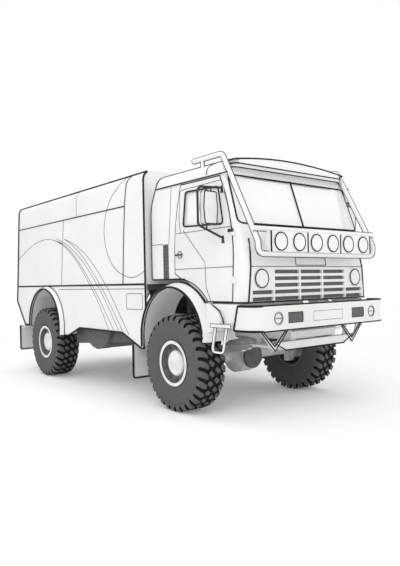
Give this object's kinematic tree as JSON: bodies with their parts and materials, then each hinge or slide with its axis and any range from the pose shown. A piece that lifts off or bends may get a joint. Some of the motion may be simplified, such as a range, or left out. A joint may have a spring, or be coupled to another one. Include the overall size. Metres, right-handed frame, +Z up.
{
  "type": "off-road truck",
  "caption": "White off-road truck with a cab over the engine, a panelled load body, large block-tread tyres, a front light bar and a tilting cab.",
  "frame": {"origin": "on the ground, half way along and half way across the truck", "axes": "+X to the nose, +Y to the left, +Z up"},
  "size_m": [7.076, 3.008, 3.28],
  "materials": {
    "body_paint": "satin",
    "chassis_paint": "matte",
    "rubber": "matte",
    "glass": "gloss",
    "lamp_glass": "gloss",
    "dark_trim": "matte",
    "seat_cloth": "matte",
    "rim_paint": "satin"
  },
  "bodies": {
    "chassis": {"frame": "chassis_paint", "front_axle": "chassis_paint", "rear_axle": "chassis_paint", "leaf_springs": "chassis_paint", "dampers": "chassis_paint", "engine": "chassis_paint", "driveline": "chassis_paint", "fuel_tanks": "chassis_paint", "bumper": "body_paint", "bumper_lamps": "lamp_glass", "skid_plate": "body_paint", "side_steps": "body_paint", "side_skirts": "body_paint", "front_fenders": "body_paint", "mud_flaps": "rubber", "cargo_floor": "chassis_paint", "cargo_sides": "body_paint", "cargo_front_wall": "body_paint", "cargo_roof": "body_paint", "tail_frame": "body_paint"},
    "cab": {"cab_shell": "body_paint", "cab_roof": "body_paint", "windscreen": "glass", "front_panel": "body_paint", "grille_backing": "dark_trim", "light_bar": "body_paint", "cab_lamps": "lamp_glass", "seats": "seat_cloth", "dashboard": "dark_trim"},
    "door_right": {"door_right": "body_paint", "door_glass_right": "glass"},
    "door_left": {"door_left": "body_paint", "door_glass_left": "glass"},
    "knuckle_right": {"knuckle_right": "chassis_paint"},
    "knuckle_left": {"knuckle_left": "chassis_paint"},
    "wheel_front_right": {"tyre_front_right": "rubber", "rim_front_right": "rim_paint"},
    "wheel_front_left": {"tyre_front_left": "rubber", "rim_front_left": "rim_paint"},
    "wheel_rear_right": {"tyre_rear_right": "rubber", "rim_rear_right": "rim_paint"},
    "wheel_rear_left": {"tyre_rear_left": "rubber", "rim_rear_left": "rim_paint"},
    "cargo_door_right": {"cargo_door_right": "body_paint"},
    "cargo_door_left": {"cargo_door_left": "body_paint"}
  },
  "joints": [
    {"name": "cab_tilt", "type": "hinge", "parent": "chassis", "child": "cab", "pos_m": [3.205, 0, 1.465], "axis": [0, 1, 0], "range_deg": [0, 45]},
    {"name": "door_right_hinge", "type": "hinge", "parent": "cab", "child": "door_right", "pos_m": [3.1, -1.178, 2], "axis": [0, 0, 1], "range_deg": [0, 70]},
    {"name": "door_left_hinge", "type": "hinge", "parent": "cab", "child": "door_left", "pos_m": [3.1, 1.178, 2], "axis": [0, 0, -1], "range_deg": [0, 70]},
    {"name": "steer_right", "type": "hinge", "parent": "chassis", "child": "knuckle_right", "pos_m": [2.025, -0.985, 0.63], "axis": [0, 0, 1], "range_deg": [-30, 30]},
    {"name": "steer_left", "type": "hinge", "parent": "chassis", "child": "knuckle_left", "pos_m": [2.025, 0.985, 0.63], "axis": [0, 0, 1], "range_deg": [-30, 30]},
    {"name": "wheel_front_right_spin", "type": "hinge", "parent": "knuckle_right", "child": "wheel_front_right", "pos_m": [2.025, -1.11, 0.63], "axis": [0, 1, 0], "continuous": true},
    {"name": "wheel_front_left_spin", "type": "hinge", "parent": "knuckle_left", "child": "wheel_front_left", "pos_m": [2.025, 1.11, 0.63], "axis": [0, 1, 0], "continuous": true},
    {"name": "wheel_rear_right_spin", "type": "hinge", "parent": "chassis", "child": "wheel_rear_right", "pos_m": [-2.025, -1.11, 0.63], "axis": [0, 1, 0], "continuous": true},
    {"name": "wheel_rear_left_spin", "type": "hinge", "parent": "chassis", "child": "wheel_rear_left", "pos_m": [-2.025, 1.11, 0.63], "axis": [0, 1, 0], "continuous": true},
    {"name": "cargo_door_right_hinge", "type": "hinge", "parent": "chassis", "child": "cargo_door_right", "pos_m": [-3.4234, -1.188, 2.4], "axis": [0.0988, 0, 0.9951], "range_deg": [0, 170]},
    {"name": "cargo_door_left_hinge", "type": "hinge", "parent": "chassis", "child": "cargo_door_left", "pos_m": [-3.4234, 1.188, 2.4], "axis": [-0.0988, 0, -0.9951], "range_deg": [0, 170]}
  ],
  "couplings": [
    {"joint": "steer_left", "follows": "steer_right", "ratio": 1}
  ]
}
